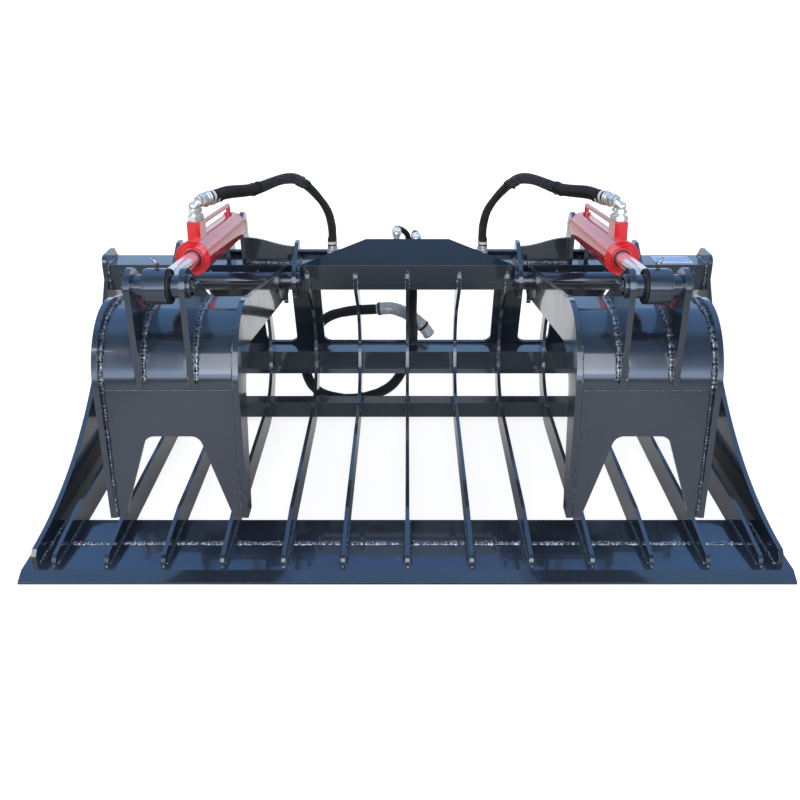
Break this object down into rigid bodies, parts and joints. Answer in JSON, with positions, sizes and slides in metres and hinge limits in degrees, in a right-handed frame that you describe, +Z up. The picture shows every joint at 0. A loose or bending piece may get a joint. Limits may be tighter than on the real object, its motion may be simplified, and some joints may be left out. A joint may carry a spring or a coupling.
{
  "type": "skeleton grapple bucket",
  "caption": "Skeleton grapple bucket for a compact loader: tined floor, side plates, quick-attach plate and independent hydraulic clamp arms.",
  "frame": {"origin": "on the ground under the middle of the bucket's overall box", "axes": "+X across the bucket to the right as seen from the front, +Y back towards the loader, +Z up"},
  "size_m": [1.816, 1.1958, 0.8314],
  "materials": {
    "body_paint": "glossy dark blue-grey powder coat",
    "cylinder_paint": "glossy red",
    "rod_chrome": "polished hard chrome",
    "plated_steel": "zinc plated",
    "machined_steel": "machined",
    "plate_aluminium": "satin",
    "hose_rubber": "black woven sleeve over rubber",
    "wrap_film": "pale packing film"
  },
  "bodies": {
    "frame": {"cutting_edge": "body_paint", "backing_plate": "body_paint", "centre_tine": "body_paint", "tine_pair_1": "body_paint", "tine_pair_2": "body_paint", "tine_pair_3": "body_paint", "tine_pair_4": "body_paint", "tine_pair_5": "body_paint", "tine_pair_6": "body_paint", "left_side_plate": "body_paint", "right_side_plate": "body_paint", "lower_tube": "body_paint", "middle_tube": "body_paint", "top_tube": "body_paint", "centre_cover": "body_paint", "pivot_ears": "body_paint", "base_lugs": "body_paint", "lug_gussets": "body_paint", "loader_plate": "body_paint", "hook_rail": "body_paint", "lock_ledges": "body_paint", "data_plate": "plate_aluminium", "hinge_pins": "body_paint", "base_pins": "plated_steel", "cross_lines": "plated_steel", "left_hoses": "hose_rubber", "right_hoses": "hose_rubber", "supply_hoses": "hose_rubber", "wrapped_couplers": "wrap_film"},
    "left_arm": {"left_arm_plates": "body_paint", "left_arm_cover": "body_paint", "left_hinge_tube": "body_paint", "left_rod_lugs": "body_paint", "left_rod_pin": "body_paint"},
    "right_arm": {"right_arm_plates": "body_paint", "right_arm_cover": "body_paint", "right_hinge_tube": "body_paint", "right_rod_lugs": "body_paint", "right_rod_pin": "body_paint"},
    "left_barrel": {"left_barrel": "cylinder_paint", "left_base_eye": "cylinder_paint", "left_gland": "cylinder_paint", "left_wiper": "hose_rubber", "left_port_block": "cylinder_paint", "left_port_fittings": "plated_steel"},
    "right_barrel": {"right_barrel": "cylinder_paint", "right_base_eye": "cylinder_paint", "right_gland": "cylinder_paint", "right_wiper": "hose_rubber", "right_port_block": "cylinder_paint", "right_port_fittings": "plated_steel"},
    "left_rod": {"left_rod": "rod_chrome", "left_piston": "machined_steel", "left_rod_eye": "body_paint"},
    "right_rod": {"right_rod": "rod_chrome", "right_piston": "machined_steel", "right_rod_eye": "body_paint"}
  },
  "joints": [
    {"name": "left_arm_hinge", "type": "hinge", "parent": "frame", "child": "left_arm", "pos_m": [-0.496, 0.24212, 0.488], "axis": [-1, 0, 0], "range_deg": [-12, 46]},
    {"name": "left_barrel_hinge", "type": "hinge", "parent": "frame", "child": "left_barrel", "pos_m": [-0.496, 0.30712, 0.636], "axis": [-1, 0, 0], "range_deg": [-12, 46], "deforming": ["left_hoses"]},
    {"name": "left_rod_slide", "type": "slide", "parent": "left_barrel", "child": "left_rod", "axis": [0, -0.9945, 0.1047], "range_m": [-0.126, 0.034]},
    {"name": "right_arm_hinge", "type": "hinge", "parent": "frame", "child": "right_arm", "pos_m": [0.496, 0.24212, 0.488], "axis": [-1, 0, 0], "range_deg": [-12, 46]},
    {"name": "right_barrel_hinge", "type": "hinge", "parent": "frame", "child": "right_barrel", "pos_m": [0.496, 0.30712, 0.636], "axis": [-1, 0, 0], "range_deg": [-12, 46], "deforming": ["right_hoses"]},
    {"name": "right_rod_slide", "type": "slide", "parent": "right_barrel", "child": "right_rod", "axis": [0, -0.9945, 0.1047], "range_m": [-0.126, 0.034]}
  ],
  "couplings": [
    {"joint": "left_barrel_hinge", "follows": "left_arm_hinge", "ratio": 0.99749},
    {"joint": "left_rod_slide", "follows": "left_arm_hinge", "m_per_rad": -0.15512},
    {"joint": "right_barrel_hinge", "follows": "right_arm_hinge", "ratio": 0.99749},
    {"joint": "right_rod_slide", "follows": "right_arm_hinge", "m_per_rad": -0.15512}
  ]
}
